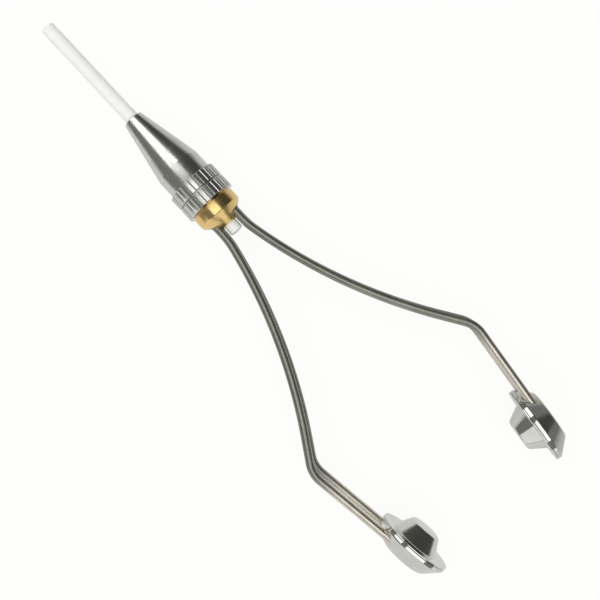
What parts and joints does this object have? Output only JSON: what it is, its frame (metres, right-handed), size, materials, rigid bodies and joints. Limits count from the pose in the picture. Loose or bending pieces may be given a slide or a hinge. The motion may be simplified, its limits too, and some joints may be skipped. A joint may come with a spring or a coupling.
{
  "type": "fly tying bobbin holder",
  "caption": "Thread bobbin holder: thin white tube in a tapered chuck nose, fluted collars, brass hub, and sprung doubled-wire arms with round feet whose turning cone plugs hold a spool.",
  "frame": {"origin": "middle of the thread tube's front mouth", "axes": "+X out of the tube's front mouth, along the tool; +Y to the left arm; +Z square to the plane of the two arms"},
  "size_m": [0.1131, 0.0378, 0.0134],
  "materials": {
    "tube_ceramic": "smooth, slightly translucent white",
    "polished_steel": "bright turned and polished",
    "dark_steel": "dull",
    "brass": "polished",
    "spring_wire": "drawn stainless wire, grey",
    "washer_plastic": "plain"
  },
  "bodies": {
    "hub_body": {"hub": "brass", "thread_tube": "tube_ceramic", "collet": "brass"},
    "nose_slide": {"closing_ring": "polished_steel"},
    "nose_body": {"nose_cone": "polished_steel"},
    "ring_slide": {"lock_washer": "dark_steel"},
    "ring_body": {"lock_ring": "polished_steel"},
    "left_arm": {"left_arm_wire": "spring_wire", "left_cap": "polished_steel", "left_drag_washer": "washer_plastic", "left_spring_washer": "dark_steel"},
    "left_plug_body": {"left_plug": "polished_steel", "left_plug_screw": "polished_steel"},
    "right_arm": {"right_arm_wire": "spring_wire", "right_cap": "polished_steel", "right_drag_washer": "washer_plastic", "right_spring_washer": "dark_steel"},
    "right_plug_body": {"right_plug": "polished_steel", "right_plug_screw": "polished_steel"}
  },
  "joints": [
    {"name": "nose_feed", "type": "slide", "parent": "hub_body", "child": "nose_slide", "axis": [1, 0, 0], "range_m": [0, 0.0015]},
    {"name": "nose_turn", "type": "hinge", "parent": "nose_slide", "child": "nose_body", "pos_m": [-0.036, 0, 0], "axis": [1, 0, 0], "range_deg": [0, 722]},
    {"name": "ring_feed", "type": "slide", "parent": "hub_body", "child": "ring_slide", "axis": [1, 0, 0], "range_m": [-0.00025, 0]},
    {"name": "ring_turn", "type": "hinge", "parent": "ring_slide", "child": "ring_body", "pos_m": [-0.04, 0, 0], "axis": [1, 0, 0], "range_deg": [-121, 0]},
    {"name": "left_arm_flex", "type": "hinge", "parent": "hub_body", "child": "left_arm", "pos_m": [-0.04325, 0.00214, 0], "axis": [0, 0, -1], "range_deg": [-2, 3.5], "stiffness_Nm_per_rad": 2.5},
    {"name": "left_plug_spin", "type": "hinge", "parent": "left_arm", "child": "left_plug_body", "pos_m": [-0.10634, 0.01404, 0], "axis": [0.1288, -0.9917, 0], "continuous": true},
    {"name": "right_arm_flex", "type": "hinge", "parent": "hub_body", "child": "right_arm", "pos_m": [-0.04325, -0.00214, 0], "axis": [0, 0, 1], "range_deg": [-2, 3.5], "stiffness_Nm_per_rad": 2.5},
    {"name": "right_plug_spin", "type": "hinge", "parent": "right_arm", "child": "right_plug_body", "pos_m": [-0.10515, -0.01419, 0], "axis": [0.1288, 0.9917, 0], "continuous": true}
  ],
  "couplings": [
    {"joint": "nose_turn", "follows": "nose_feed", "rad_per_m": 8377.6},
    {"joint": "ring_turn", "follows": "ring_feed", "rad_per_m": 8377.6}
  ]
}
